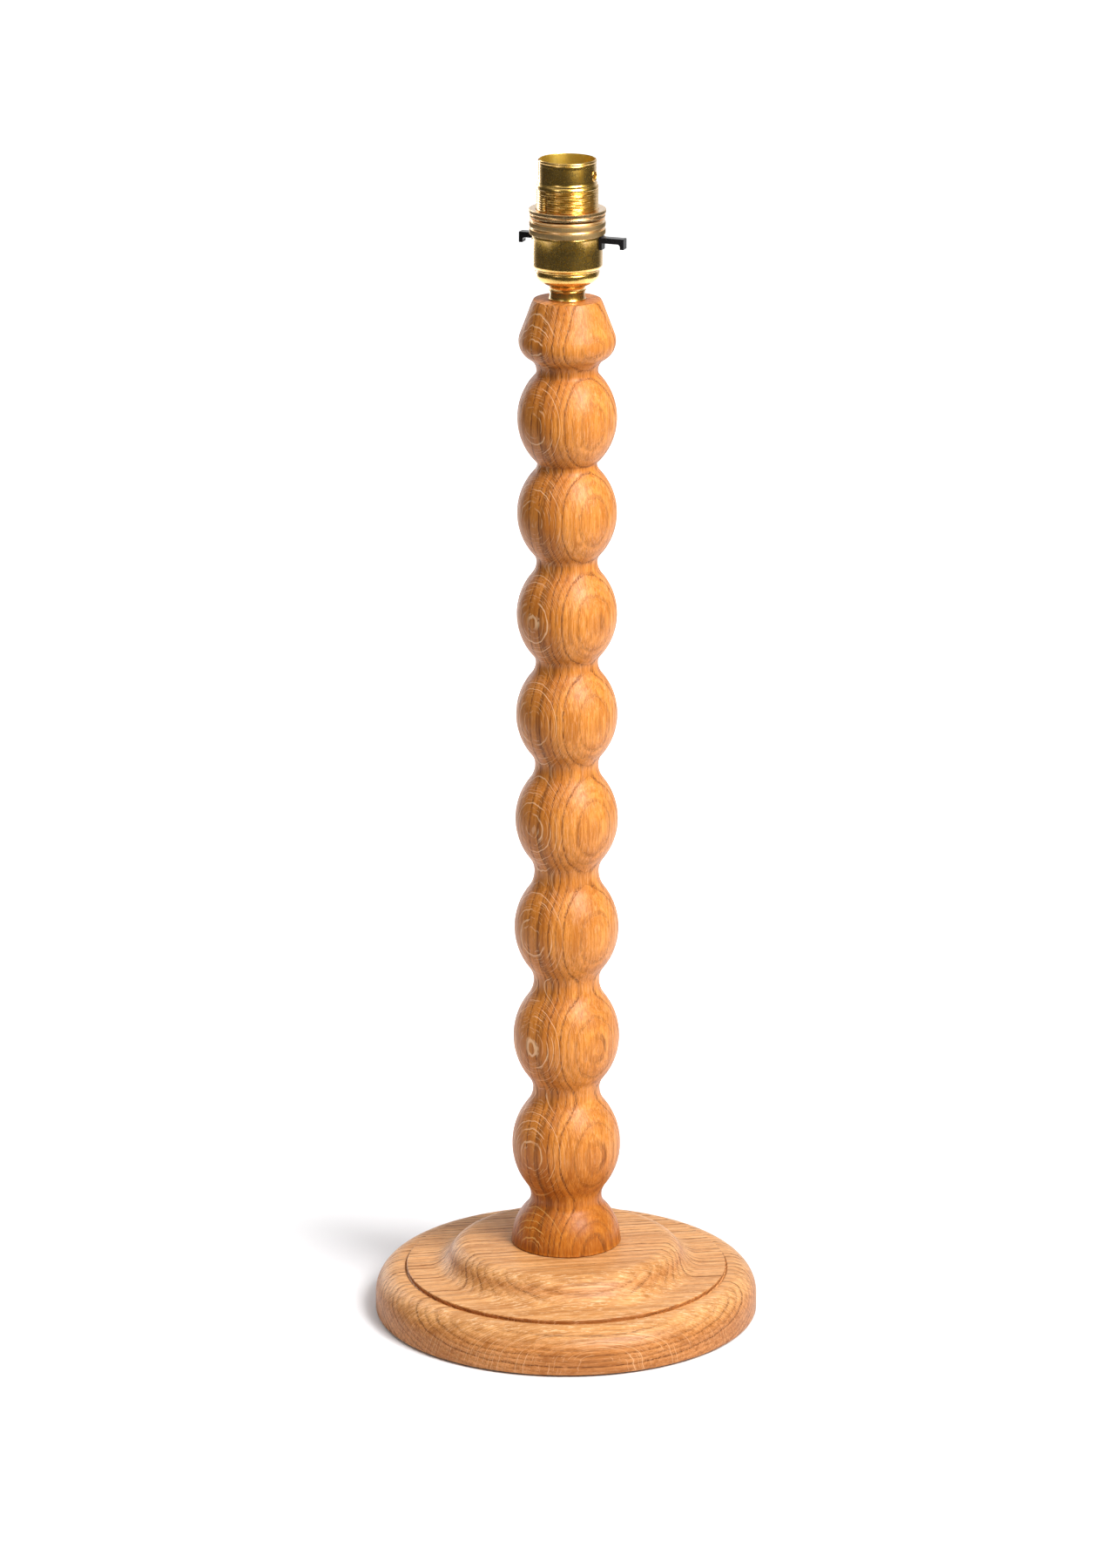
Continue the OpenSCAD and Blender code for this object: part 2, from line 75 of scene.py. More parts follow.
# ---------------------------------------------------------------- shader graphs
class Graph:
    """A material's node tree, with short calls for the nodes that the materials use."""

    def __init__(self, name):
        self.material = bpy.data.materials.new(name)
        self.material.use_nodes = True
        self.tree = self.material.node_tree
        self.tree.nodes.clear()
        self.output = self.tree.nodes.new("ShaderNodeOutputMaterial")
        self.shader = self.tree.nodes.new("ShaderNodeBsdfPrincipled")
        self.tree.links.new(self.shader.outputs[0], self.output.inputs["Surface"])

    def put(self, socket, value):
        if isinstance(value, bpy.types.NodeSocket):
            self.tree.links.new(value, socket)
        elif value is not None:
            socket.default_value = value

    def set(self, **values):
        for name, value in values.items():
            self.put(self.shader.inputs[name.replace("_", " ")], value)

    def place(self):
        return self.tree.nodes.new("ShaderNodeTexCoord").outputs["Object"]

    def math(self, operation, a, b=None, c=None):
        node = self.tree.nodes.new("ShaderNodeMath")
        node.operation = operation
        for socket, value in zip(node.inputs, (a, b, c)):
            self.put(socket, value)
        return node.outputs[0]

    def dot(self, vector, axis):
        node = self.tree.nodes.new("ShaderNodeVectorMath")
        node.operation = "DOT_PRODUCT"
        self.put(node.inputs[0], vector)
        node.inputs[1].default_value = axis
        return node.outputs["Value"]

    def join(self, x, y, z):
        node = self.tree.nodes.new("ShaderNodeCombineXYZ")
        for socket, value in zip(node.inputs, (x, y, z)):
            self.put(socket, value)
        return node.outputs[0]

    def scaled(self, vector, scale):
        node = self.tree.nodes.new("ShaderNodeVectorMath")
        node.operation = "MULTIPLY"
        self.put(node.inputs[0], vector)
        node.inputs[1].default_value = scale
        return node.outputs[0]

    def noise(self, vector, scale=1.0, detail=2.0, roughness=0.5):
        node = self.tree.nodes.new("ShaderNodeTexNoise")
        self.put(node.inputs["Vector"], vector)
        node.inputs["Scale"].default_value = scale
        node.inputs["Detail"].default_value = detail
        node.inputs["Roughness"].default_value = roughness
        return node.outputs["Fac"]

    def random(self, value):
        node = self.tree.nodes.new("ShaderNodeTexWhiteNoise")
        node.noise_dimensions = "1D"
        self.put(node.inputs["W"], value)
        return node.outputs["Value"]

    def steps(self, value, low, high):
        """0 below low, 1 above high, smooth between; low may be the larger one."""
        node = self.tree.nodes.new("ShaderNodeMapRange")
        node.interpolation_type = "SMOOTHSTEP"
        self.put(node.inputs["Value"], value)
        node.inputs["From Min"].default_value = min(low, high)
        node.inputs["From Max"].default_value = max(low, high)
        node.inputs["To Min"].default_value = 0.0 if low < high else 1.0
        node.inputs["To Max"].default_value = 1.0 if low < high else 0.0
        return node.outputs["Result"]

    def mix(self, share, a, b, kind="MIX"):
        node = self.tree.nodes.new("ShaderNodeMix")
        node.data_type = "RGBA"
        node.blend_type = kind
        self.put(node.inputs[0], share)
        for socket, value in ((node.inputs[6], a), (node.inputs[7], b)):
            if isinstance(value, tuple):
                value = (*value, 1.0)
            self.put(socket, value)
        return node.outputs[2]

    def bump(self, height, distance, strength=1.0):
        node = self.tree.nodes.new("ShaderNodeBump")
        node.inputs["Strength"].default_value = strength
        node.inputs["Distance"].default_value = distance
        self.put(node.inputs["Height"], height)
        return node.outputs[0]


def grain_noise(g, tree, across, down, detail=1.0, roughness=0.5):
    """Noise stretched along the grain. across and down are its scales per millimetre."""
    scaled = [g.math("MULTIPLY", way, scale) for way, scale in zip(tree, (across, across, down))]
    return g.noise(g.join(*scaled), 1.0, detail, roughness)


def oak_rings(g, radius, gap, along_ring):
    """Pore zone, dense zone and border of the growth rings, whose strength changes by the year."""
    ring = g.math("DIVIDE", radius, gap)
    year = g.random(g.math("FLOOR", ring))
    part = g.math("FRACT", ring)
    pore_zone = g.math("MULTIPLY", g.steps(part, 0.0, 0.07), g.steps(part, 0.42, 0.16))
    pore_zone = g.math("MULTIPLY", pore_zone, g.math("MULTIPLY_ADD", year, 0.95, 0.12))
    pore_zone = g.math("MULTIPLY", pore_zone, g.math("MULTIPLY_ADD", along_ring, -0.35, 1.0))
    dense = g.steps(part, 0.55, 1.0)
    border = g.math("MULTIPLY", g.steps(part, 0.0, 0.03), g.steps(part, 0.11, 0.05))
    border = g.math("MULTIPLY", border, g.math("MULTIPLY_ADD", along_ring, -0.45, 1.0))
    return pore_zone, dense, g.math("MULTIPLY", border, year)


def oak_rays(g, tree, fan, gap, half_width, start, end, across, down):
    """Thin sheets that run out from the pith, broken into patches."""
    level = g.math("DIVIDE", fan, gap)
    sheet = g.math("FLOOR", level)
    offset = g.math("MULTIPLY_ADD", g.random(sheet), 0.6, 0.2)
    away = g.math("ABSOLUTE", g.math("SUBTRACT", g.math("FRACT", level), offset))
    line = g.steps(away, half_width / gap, half_width * 0.35 / gap)
    patch = g.join(g.math("MULTIPLY", tree[0], across), g.math("MULTIPLY", sheet, 7.3),
                   g.math("MULTIPLY", tree[2], down))
    return g.math("MULTIPLY", line, g.steps(g.noise(patch, 1.0, 1.0), start, end))


def oak(name, along, rings_face, rays_face, pith, colours, ring_gap, ray_gap, ray_from, heart, edge,
        sway, foot, figure):
    """Waxed oak. along is the grain's direction, rings_face and rays_face the normals of the growth
    rings and of the ray sheets, pith the distance from the middle of the tree, gaps in millimetres.
    Bold rays show where they are more than ray_from from the axis. heart is how much one side
    darkens; edge is how much painted shade darkens the steep faces, and foot how much painted shade
    darkens the lower end. sway is how far the rings wander, and figure how pale the flecks are where
    the surface lies along a ring."""
    g = Graph(name)
    place = g.place()
    tree = [g.math("MULTIPLY", g.dot(place, way), 1 / MM) for way in (rings_face, rays_face, along)]
    u, v, w = tree

    # distance from the pith, with a slow wander and a fine ripple
    wander = g.math("SUBTRACT", grain_noise(g, tree, 0.03, 0.013, 2.0), 0.5)
    ripple = g.math("SUBTRACT", grain_noise(g, tree, 0.25, 0.07, 2.0), 0.5)
    deep = g.math("ADD", u, pith)
    radius = g.math("SQRT", g.math("ADD", g.math("MULTIPLY", deep, deep), g.math("MULTIPLY", v, v)))
    # 1 where the surface lies along a ring
    facing = g.tree.nodes.new("ShaderNodeTexCoord").outputs["Normal"]
    toward = g.math("MULTIPLY", g.dot(facing, rings_face), deep)
    toward = g.math("ADD", toward, g.math("MULTIPLY", g.dot(facing, rays_face), v))
    along_ring = g.steps(g.math("ABSOLUTE", g.math("DIVIDE", toward, radius)), 0.86, 0.985)
    radius = g.math("MULTIPLY_ADD", wander, sway, radius)
    radius = g.math("MULTIPLY_ADD", ripple, 1.1, radius)
    pore_zone, dense, border = oak_rings(g, radius, ring_gap, along_ring)
    side = g.math("MULTIPLY_ADD", wander, 12.0, u)
    inner = g.math("MULTIPLY_ADD", g.steps(side, 7, 3), -0.55, g.steps(side, 14, 9))

    # vessels: long dark threads along the grain
    pores = g.math("MULTIPLY", g.steps(grain_noise(g, tree, 2.6, 0.2), 0.44, 0.53), pore_zone)
    pores = g.math("MULTIPLY", pores, g.math("MULTIPLY_ADD", along_ring, -0.85, 1.0))
    specks = g.math("MULTIPLY", g.steps(grain_noise(g, tree, 5.5, 0.45), 0.62, 0.72), 0.45)

    # fibres, short flecks between them, longer streaks and a slow change of tone
    fibres = grain_noise(g, tree, 1.3, 0.03, 3.0, 0.6)
    flecks = grain_noise(g, tree, 0.95, 0.24, 2.0, 0.6)
    streaks = grain_noise(g, tree, 0.42, 0.022, 2.0, 0.6)
    tone = grain_noise(g, tree, 0.09, 0.012, 2.0)

    fan = g.math("DIVIDE", g.math("MULTIPLY", v, pith), deep)
    fan = g.math("MULTIPLY_ADD", ripple, 0.9, fan)
    bold = oak_rays(g, tree, fan, ray_gap, 0.13, 0.47, 0.54, 0.07, 0.035)
    thin = oak_rays(g, tree, fan, ray_gap * 0.31, 0.08, 0.46, 0.6, 0.3, 0.12)
    if ray_from:
        bold = g.math("MULTIPLY", bold, g.steps(g.math("ABSOLUTE", v), ray_from, ray_from + 7))
    rays = g.math("MAXIMUM", bold, g.math("MULTIPLY", thin, 0.5))

    def tint(colour, share, amount, other, kind="MIX"):
        return g.mix(g.math("MULTIPLY", share, amount), colour, other, kind)

    light, mid, dark, pore, ray = colours
    colour = g.mix(g.steps(fibres, 0.38, 0.60), mid, light)
    colour = tint(colour, dense, 0.35, dark)
    colour = tint(colour, g.steps(streaks, 0.5, 0.64), 0.55, dark)
    colour = tint(colour, g.steps(tone, 0.35, 0.7), 0.35, dark)
    colour = tint(colour, g.steps(flecks, 0.54, 0.70), 0.36, dark)
    pale = g.math("MULTIPLY_ADD", along_ring, figure, 0.16)
    colour = tint(colour, g.steps(flecks, 0.46, 0.32), pale, ray)
    colour = tint(colour, inner, heart, dark)
    colour = tint(colour, pore_zone, 0.5, dark)
    colour = tint(colour, border, 0.08 * sway, dark)
    if heart:
        # one dark year between the heart and the outer wood
        side = g.math("MULTIPLY_ADD", wander, 5.0, u)
        band = g.math("MULTIPLY", g.steps(side, 3.6, 4.6), g.steps(side, 7.4, 5.6))
        colour = tint(colour, band, g.math("MULTIPLY_ADD", g.steps(fibres, 0.62, 0.4), 0.4, 0.3), pore)
    colour = g.mix(g.math("MAXIMUM", g.math("MULTIPLY", pores, 0.95), specks), colour, pore)
    colour = tint(colour, rays, 0.72, ray)
    # painted shade: the lower end is darkened, standing in for the light that falls off near the base
    if foot:
        colour = tint(colour, g.steps(w, 105, 45), foot, (0.76, 0.62, 0.26), "MULTIPLY")
    # painted shade: every steep face is darkened, whichever way its grain runs
    if edge:
        upright_shade = g.steps(g.math("ABSOLUTE", g.dot(facing, (0, 0, 1))), 0.85, 0.3)
        colour = tint(colour, upright_shade, edge, (0.78, 0.62, 0.47), "MULTIPLY")
    height = g.math("MULTIPLY_ADD", pores, -1.0, g.math("MULTIPLY", fibres, 0.12))
    height = g.math("MULTIPLY_ADD", specks, -0.5, height)
    shine = g.math("MULTIPLY_ADD", pores, 0.25, g.math("MULTIPLY_ADD", fibres, 0.12, 0.36))
    g.set(Base_Color=colour, Roughness=shine, Normal=g.bump(height, 0.00012, 0.5))
    g.set(Specular_IOR_Level=0.25, Coat_Weight=0.04, Coat_Roughness=0.3)
    return g.material


def brass(name, base, shade, roughness, grain):
    """Polished brass with fine specks and a slow change of tone. grain is the specks' depth."""
    g = Graph(name)
    place = g.place()
    speck = g.noise(place, 2600.0, 3.0, 0.65)
    blotch = g.noise(place, 420.0, 3.0, 0.6)
    cloud = g.noise(place, 60.0, 2.0)
    colour = g.mix(g.steps(blotch, 0.25, 0.85), base, shade)
    tarnish = tuple(c * 0.5 for c in shade)
    colour = g.mix(g.math("MULTIPLY", g.steps(speck, 0.5, 0.75), 0.45), colour, tarnish)
    rough = g.math("MULTIPLY_ADD", blotch, 0.14, g.math("MULTIPLY_ADD", cloud, 0.08, roughness - 0.16))
    rough = g.math("MULTIPLY_ADD", speck, 0.14, rough)
    height = g.math("MULTIPLY_ADD", blotch, 0.04, speck)
    g.set(Base_Color=colour, Roughness=rough, Normal=g.bump(height, grain))
    g.set(Metallic=1.0, Coat_Weight=1.0, Coat_Roughness=0.17, Coat_IOR=1.9)
    return g.material


def moulded(name, base, roughness, coat):
    """Moulded plastic: faint mottle and a fine moulding texture."""
    g = Graph(name)
    place = g.place()
    mottle = g.noise(place, 400.0, 3.0)
    skin = g.noise(place, 3000.0, 2.0)
    colour = g.mix(g.steps(mottle, 0.3, 0.8), base, tuple(c * 0.8 for c in base))
    rough = g.math("MULTIPLY_ADD", mottle, 0.12, roughness - 0.06)
    g.set(Base_Color=colour, Roughness=rough, Normal=g.bump(skin, 0.00001, 0.5))
    g.set(Coat_Weight=coat, Coat_Roughness=0.12)
    return g.material


def felt_cloth(name):
    """Black felt, fuzzy and clumped."""
    g = Graph(name)
    place = g.place()
    fuzz = g.noise(place, 1500.0, 4.0, 0.7)
    clump = g.noise(place, 220.0, 3.0)
    colour = g.mix(fuzz, (0.012, 0.011, 0.010), (0.055, 0.050, 0.046))
    colour = g.mix(g.math("MULTIPLY", clump, 0.3), colour, (0.02, 0.018, 0.016))
    g.set(Base_Color=colour, Normal=g.bump(fuzz, 0.0003))
    g.set(Roughness=0.95, Sheen_Weight=0.4, Sheen_Roughness=0.6)
    return g.material


def spring_wire(name):
    """Drawn steel wire."""
    g = Graph(name)
    drawn = g.noise(g.scaled(g.place(), (1.0, 1.0, 0.2)), 3000.0, 2.0)
    colour = g.mix(drawn, (0.50, 0.50, 0.49), (0.66, 0.66, 0.65))
    g.set(Base_Color=colour, Roughness=g.math("MULTIPLY_ADD", drawn, 0.15, 0.22))
    g.set(Metallic=1.0)
    return g.material


def bearing(azimuth, elevation=0.0):
    """Direction at an azimuth to the right of the front and an elevation, in degrees."""
    a, e = math.radians(azimuth), math.radians(elevation)
    return Vector((math.sin(a) * math.cos(e), -math.cos(a) * math.cos(e), math.sin(e)))


BASE_TURN = math.radians(9)         # from +X to the grain of the base
base_grain = Vector((math.cos(BASE_TURN), math.sin(BASE_TURN), 0.0))
base_pith = Vector((0.0, -95.0, 135.0))     # the middle of the tree passes above the front of the base
base_rings = -(base_pith - base_grain * base_pith.dot(base_grain)).normalized()

COLUMN_OAK = oak(
    "oak_column", along=(0, 0, 1), rings_face=bearing(43), rays_face=bearing(-66), pith=-55.0,
    colours=((0.75, 0.290, 0.056), (0.62, 0.212, 0.030), (0.40, 0.112, 0.010), (0.17, 0.050, 0.007),
             (0.88, 0.56, 0.31)),
    ring_gap=3.1, ray_gap=1.9, ray_from=8, heart=0.5, edge=0.0, sway=6.5, foot=0.9, figure=0.0)
BASE_OAK = oak(
    "oak_base", along=base_grain, rings_face=base_rings, rays_face=base_grain.cross(base_rings),
    pith=165.0,
    colours=((0.80, 0.41, 0.160), (0.64, 0.290, 0.086), (0.36, 0.127, 0.022), (0.12, 0.037, 0.005),
             (0.90, 0.62, 0.36)),
    ring_gap=2.6, ray_gap=2.1, ray_from=0, heart=0.0, edge=0.9, sway=3.0, foot=0.0, figure=0.5)
BRASS_SHELL = brass("brass_shell", (0.95, 0.58, 0.10), (0.72, 0.37, 0.025), 0.26, 0.000012)
BRASS_INSIDE = brass("brass_inside", (0.82, 0.58, 0.11), (0.68, 0.44, 0.06), 0.45, 0.000008)
BRASS_RINGS = brass("brass_rings", (1.0, 0.68, 0.30), (0.95, 0.58, 0.21), 0.36, 0.000008)
BRASS_DISCS = brass("brass_discs", (1.0, 0.66, 0.28), (0.86, 0.50, 0.16), 0.26, 0.000006)
BRASS_INNER = brass("brass_inner", (0.78, 0.57, 0.24), (0.62, 0.42, 0.15), 0.30, 0.000010)
BAR_BLACK = moulded("bar_black", (0.010, 0.009, 0.010), 0.26, 0.4)
PHENOLIC = moulded("phenolic_brown", (0.10, 0.045, 0.025), 0.42, 0.1)
CREAM = moulded("insulator_cream", (0.66, 0.61, 0.52), 0.45, 0.1)
FELT = felt_cloth("felt_pad")
WIRE = spring_wire("spring_wire")


# ---------------------------------------------------------------- meshes
def arc(centre, radius, start, end, steps):
    """Points of an arc in (r, z), from one angle to another in degrees."""
    angles = [math.radians(start + (end - start) * i / steps) for i in range(steps + 1)]
    return [(centre[0] + radius * math.cos(a), centre[1] + radius * math.sin(a)) for a in angles]


def new_mesh(name, verts, faces):
    """A mesh from points in millimetres."""
    mesh = bpy.data.meshes.new(name)
    mesh.from_pydata([tuple(c * MM for c in v) for v in verts], [], faces)
    return mesh


def new_piece(name, verts, faces, material, body, replaced):
    """A closed, smoothed piece that rides on its body in place of its CAD nodes."""
    mesh = new_mesh(name, verts, faces)
    work = bmesh.new()
    work.from_mesh(mesh)
    bmesh.ops.remove_doubles(work, verts=work.verts, dist=1e-7)
    bmesh.ops.recalc_face_normals(work, faces=work.faces)
    work.to_mesh(mesh)
    work.free()
    piece = bpy.data.objects.new(name, mesh)
    bpy.context.scene.collection.objects.link(piece)
    mesh.materials.append(material)
    smooth(piece, SHARP_ANGLE)
    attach(piece, body)
    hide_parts(*replaced)
    return piece


def smooth(piece, degrees):
    """Smooth shading, with edges kept where faces meet at more than an angle."""
    mesh = piece.data
    mesh.polygons.foreach_set("use_smooth", [True] * len(mesh.polygons))
    mesh.set_sharp_from_angle(angle=math.radians(degrees))


def ring_faces(rows, columns, closed_loop):
    """Quads between rows of a lathe; the last row joins the first when the outline is a loop."""
    faces = []
    for i in range(rows if closed_loop else rows - 1):
        for j in range(columns):
            a, b = i * columns + j, i * columns + (j + 1) % columns
            c, d = ((i + 1) % rows) * columns + (j + 1) % columns, ((i + 1) % rows) * columns + j
            faces.append((a, b, c, d))
    return faces


def lathe(outline, columns, shape=None):
    """Verts and faces of a closed loop (r, z) turned about Z. shape(angle, r, z) may move a radius."""
    verts = []
    for r, z in outline:
        for j in range(columns):
            angle = TAU * j / columns
            rr = shape(angle, r, z) if shape else r
            verts.append((rr * math.cos(angle), rr * math.sin(angle), z))
    return verts, ring_faces(len(outline), columns, True)


def solid_lathe(outline, columns):
    """Verts and faces of an outline (r, z) that starts and ends on the axis, turned about Z."""
    angles = [TAU * j / columns for j in range(columns)]
    verts = [(0, 0, outline[0][1])]
    for r, z in outline[1:-1]:
        verts += [(r * math.cos(a), r * math.sin(a), z) for a in angles]
    verts.append((0, 0, outline[-1][1]))
    rows = len(outline) - 2
    faces = [tuple(1 + k for k in face) for face in ring_faces(rows, columns, False)]
    last = 1 + (rows - 1) * columns
    for j in range(columns):
        k = (j + 1) % columns
        faces.append((0, 1 + k, 1 + j))
        faces.append((len(verts) - 1, last + j, last + k))
    return verts, faces


def cut(piece, verts, faces):
    """Takes a closed shape out of a piece."""
    mesh = new_mesh("cutter", verts, faces)
    work = bmesh.new()
    work.from_mesh(mesh)
    bmesh.ops.recalc_face_normals(work, faces=work.faces)
    work.to_mesh(mesh)
    work.free()
    cutter = bpy.data.objects.new("cutter", mesh)
    bpy.context.scene.collection.objects.link(cutter)
    step = piece.modifiers.new("cut", "BOOLEAN")
    step.operation = "DIFFERENCE"
    step.solver = "EXACT"
    step.object = cutter
    graph = bpy.context.evaluated_depsgraph_get()
    result = bpy.data.meshes.new_from_object(piece.evaluated_get(graph))
    piece.modifiers.remove(step)
    old = piece.data
    piece.data = result
    bpy.data.meshes.remove(old)
    bpy.data.objects.remove(cutter)
    bpy.data.meshes.remove(mesh)
    smooth(piece, SHARP_ANGLE)


def prism(points, low, high):
    """Closed prism on XY points between two heights."""
    n = len(points)
    verts = [(x, y, low) for x, y in points] + [(x, y, high) for x, y in points]
    faces = [tuple(range(n - 1, -1, -1)), tuple(range(n, 2 * n))]
    faces += [(j, (j + 1) % n, n + (j + 1) % n, n + j) for j in range(n)]
    return verts, faces


def turned(verts, angle, lift=0.0):
    """Turns points about Z and lifts them."""
    c, s = math.cos(angle), math.sin(angle)
    return [(x * c - y * s, x * s + y * c, z + lift) for x, y, z in verts]


def round_cutter(radius, length, sides=48):
    """A rod along +Y from the origin."""
    ring = [(radius * math.cos(TAU * j / sides), radius * math.sin(TAU * j / sides)) for j in range(sides)]
    verts = [(x, 0.0, z) for x, z in ring] + [(x, length, z) for x, z in ring]
    faces = [tuple(range(sides)), tuple(range(2 * sides - 1, sides - 1, -1))]
    faces += [(j, sides + j, sides + (j + 1) % sides, (j + 1) % sides) for j in range(sides)]
    return verts, faces


# ---------------------------------------------------------------- wood
def smooth_curve(points, steps):
    """A Catmull-Rom curve through points."""
    ends = [points[0]] + list(points) + [points[-1]]
    out = []
    for a, b, c, d in zip(ends, ends[1:], ends[2:], ends[3:]):
        for k in range(steps):
            t = k / steps
            out.append(tuple(
                0.5 * (2 * q + (r - p) * t + (2 * p - 5 * q + 4 * r - s) * t * t
                       + (3 * q - p - 3 * r + s) * t ** 3)
                for p, q, r, s in zip(a, b, c, d)))
    return out + [tuple(points[-1])]


def column_outline():
    """The CAD column's own outline, from its shoulder on the base to its top face, made smooth."""
    rings = {}
    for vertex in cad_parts["column"].data.vertices:
        r, z = math.hypot(vertex.co.x, vertex.co.y) / MM, round(vertex.co.z / MM, 2)
        if r > NIPPLE_HOLE_R + 1 and z > BASE_TOP - 0.05:
            rings.setdefault(z, []).append(r)
    outline = [(max(rs), z) for z, rs in sorted(rings.items())]
    return smooth_curve(outline, 3)


def build_column():
    """The turned spindle with its tenon, its cable bore and the hole of the nipple."""
    side = column_outline()
    edge = 0.5      # the arris of the top face is just broken
    r_top = side[-1][0]
    side = side[:-1] + [(r_top, WOOD_TOP - edge), (r_top - 0.15, WOOD_TOP - 0.15),
                        (r_top - edge, WOOD_TOP)]
    tenon_r = MORTISE_R - 0.05
    outline = [(tenon_r, TENON_Z + 1), (tenon_r, BASE_TOP)] + side
    nipple_low = WOOD_TOP - NIPPLE_DEPTH
    outline += [(r_top * 0.7, WOOD_TOP), (NIPPLE_HOLE_R, WOOD_TOP), (NIPPLE_HOLE_R, nipple_low),
                (CABLE_BORE_R, nipple_low), (CABLE_BORE_R, TENON_Z), (tenon_r - 1, TENON_Z)]
    verts, faces = lathe(outline, 160)
    return new_piece("turned_column", verts, faces, COLUMN_OAK, "root", ["column"])


def build_base():
    """The foot plate: round edge, groove and step, flat, ogee and plateau, with the cable's way in."""
    edge_h, edge_round = 8.5, 12.2
    band, flat = edge_h + edge_round, edge_h + edge_round + 1.8
    step_r, ogee_foot, plateau = 75.0, 64.0, 45.0
    run, rise = ogee_foot - plateau, BASE_TOP - flat
    bend = (run * run + rise * rise) / (4 * rise)
    angle = math.degrees(math.asin(run / 2 / bend))
    outline = [(WELL_R, FELT_T), (40, FELT_T), (BASE_R - 0.9, FELT_T), (BASE_R - 0.35, FELT_T + 0.2),
               (BASE_R, FELT_T + 0.8), (BASE_R, 4), (BASE_R, edge_h)]
    outline += arc((BASE_R - edge_round, edge_h), edge_round, 3, 90, 30)
    outline += [(step_r + 1.0, band), (step_r + 0.5, band - 0.6), (step_r + 0.1, band - 0.8),
                (step_r - 0.3, band - 0.5), (step_r - 0.25, band + 0.6), (step_r, band + 1.0),
                (step_r, flat - 0.5)]
    outline += arc((step_r - 0.5, flat - 0.5), 0.5, 15, 90, 5)
    outline += [(70, flat)]
    outline += arc((ogee_foot, flat + bend), bend, -90, -90 - angle, 16)
    outline += arc((plateau, BASE_TOP - bend), bend, 90 - angle, 90, 16)[1:]
    outline += [(30, BASE_TOP), (MORTISE_R, BASE_TOP), (MORTISE_R, TENON_Z), (WELL_R, TENON_Z)]
    verts, faces = lathe(outline, 240)
    piece = new_piece("turned_base", verts, faces, BASE_OAK, "root", ["base"])
    rod, sides = round_cutter(INLET_R, BASE_R + 2)
    cut(piece, [(x, y, z + INLET_Z) for x, y, z in rod], sides)
    return piece


def build_felt():
    """A thin pad glued under the base, its edge a little soft."""
    t = FELT_T
    outline = [(0, 0), (FELT_R * 0.5, 0), (FELT_R - 0.3, 0), (FELT_R - 0.05, t * 0.25), (FELT_R, t * 0.5),
               (FELT_R - 0.05, t * 0.75), (FELT_R - 0.2, t), (FELT_R * 0.5, t), (0, t)]
    verts, faces = solid_lathe(outline, 240)
    pad = new_piece("felt_pad", verts, faces, FELT, "root", ["base_felt"])
    return pad


# ---------------------------------------------------------------- lampholder
SKIRT_R, BARREL_R, SHEET_T = 14.1, 13.1, 0.65
SKIRT_LOW, SKIRT_TOP, BARREL_LOW, RIM = 34.9, 51.3, 54.4, RIM_Z - WOOD_TOP
FLANGE_R, FLANGE_LOW = 15.3, 34.0
THREAD_PITCH, THREAD_DEPTH = 1.05, 0.5
LOCK_DROP, LOCK_HOLE_R = 6.9, 2.05
TRACK_DROP, TRACK_W, ENTRY_W, ENTRY_SINK = 1.8, 2.4, 3.0, 0.3
SLOT_TURN = math.radians(27)
CREASE_TURN, CREASE_W, CREASE_TOP = math.radians(63), 3.4, 48.5


def thread_shape(creases):
    """Rolled thread and pressed creases on the skirt, the same on both faces of the sheet."""
    def shape(angle, r, z):
        h = z - WOOD_TOP
        inset = 0.0
        if SKIRT_LOW + 0.4 < h < SKIRT_TOP + 0.2:
            fade = min(1.0, (h - SKIRT_LOW - 0.4) / 0.8, (SKIRT_TOP + 0.2 - h) / 0.9)
            turn = (h / THREAD_PITCH - angle / TAU) % 1.0
            inset += THREAD_DEPTH * fade * (0.5 - 0.5 * math.cos(TAU * turn)) ** 0.8
        for centre in creases:
            across = (angle - centre + math.pi) % TAU - math.pi
            x = across * SKIRT_R / (CREASE_W / 2)
            if abs(x) < 1 and SKIRT_LOW < h < CREASE_TOP:
                dip = (1 - x * x) ** 1.5
                inset += 0.9 * dip * min(1.0, (CREASE_TOP - h) / 1.6)
        return r - inset
    return shape


